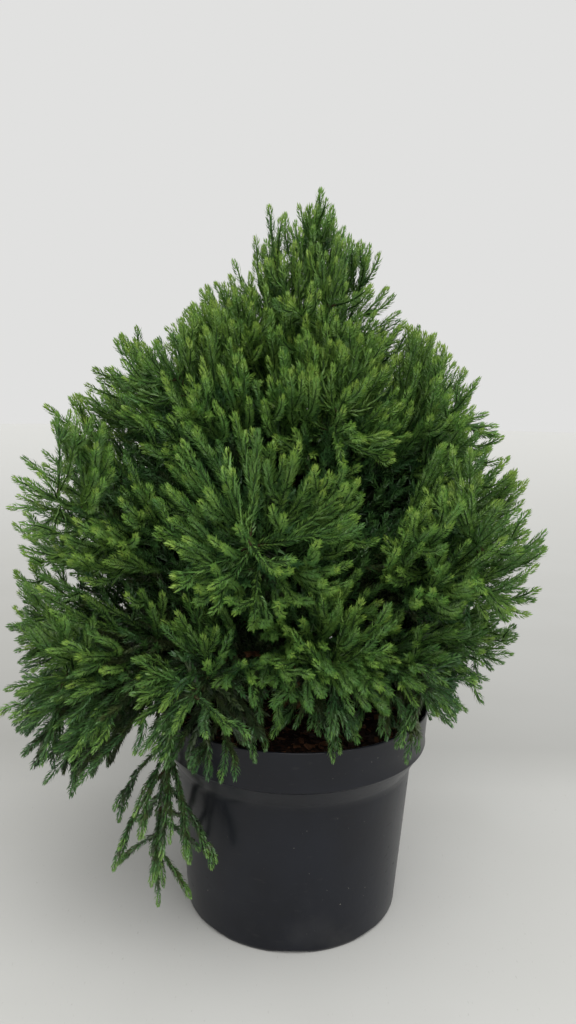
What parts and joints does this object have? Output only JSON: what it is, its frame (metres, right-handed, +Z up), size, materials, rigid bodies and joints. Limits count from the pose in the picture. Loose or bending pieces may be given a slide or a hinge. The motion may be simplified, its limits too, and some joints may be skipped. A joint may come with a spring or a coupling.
{
  "type": "potted cryptomeria shrub",
  "caption": "Dense, rounded young Japanese cedar bush with plumes of short green needles, in a plain dark nursery pot.",
  "frame": {"origin": "middle of the pot's flat underside, on the ground", "axes": "+Z up along the pot's axis, +X to the right of the side the plant is seen from, -Y towards that side, where a few shoots trail over the rim"},
  "size_m": [0.5542, 0.4707, 0.733],
  "materials": {
    "pot": "anthracite injection-moulded plastic with a satin sheen",
    "compost": "moist dark brown compost with bits of bark and coir",
    "bark": "red-brown stringy bark",
    "foliage": "mid-green awl-shaped needles with paler yellow-green tips"
  },
  "bodies": {
    "root": {"pot": "pot", "compost": "compost", "trunk": "bark", "bough_lower_1": "bark", "bough_lower_2": "bark", "bough_lower_3": "bark", "bough_lower_4": "bark", "bough_lower_5": "bark", "bough_lower_6": "bark", "bough_middle_1": "bark", "bough_middle_2": "bark", "bough_middle_3": "bark", "bough_middle_4": "bark", "bough_middle_5": "bark", "bough_middle_6": "bark", "bough_skirt_1": "bark", "bough_skirt_2": "bark", "bough_skirt_3": "bark", "bough_skirt_4": "bark", "bough_skirt_5": "bark", "bough_skirt_6": "bark", "bough_trailing": "bark", "bough_upper_1": "bark", "bough_upper_2": "bark", "bough_upper_3": "bark", "bough_upper_4": "bark", "bough_upper_5": "bark", "bough_upper_6": "bark", "foliage_crown_1": "foliage", "foliage_crown_2": "foliage", "foliage_crown_3": "foliage", "foliage_crown_4": "foliage", "foliage_crown_5": "foliage", "foliage_leader_1": "foliage", "foliage_leader_2": "foliage", "foliage_lower_1": "foliage", "foliage_lower_2": "foliage", "foliage_lower_3": "foliage", "foliage_lower_4": "foliage", "foliage_lower_5": "foliage", "foliage_lower_6": "foliage", "foliage_middle_1": "foliage", "foliage_middle_2": "foliage", "foliage_middle_3": "foliage", "foliage_middle_4": "foliage", "foliage_middle_5": "foliage", "foliage_middle_6": "foliage", "foliage_skirt_1": "foliage", "foliage_skirt_2": "foliage", "foliage_skirt_3": "foliage", "foliage_skirt_4": "foliage", "foliage_skirt_5": "foliage", "foliage_skirt_6": "foliage", "foliage_trailing": "foliage", "foliage_upper_1": "foliage", "foliage_upper_2": "foliage", "foliage_upper_3": "foliage", "foliage_upper_4": "foliage", "foliage_upper_5": "foliage", "foliage_upper_6": "foliage"}
  },
  "joints": []
}
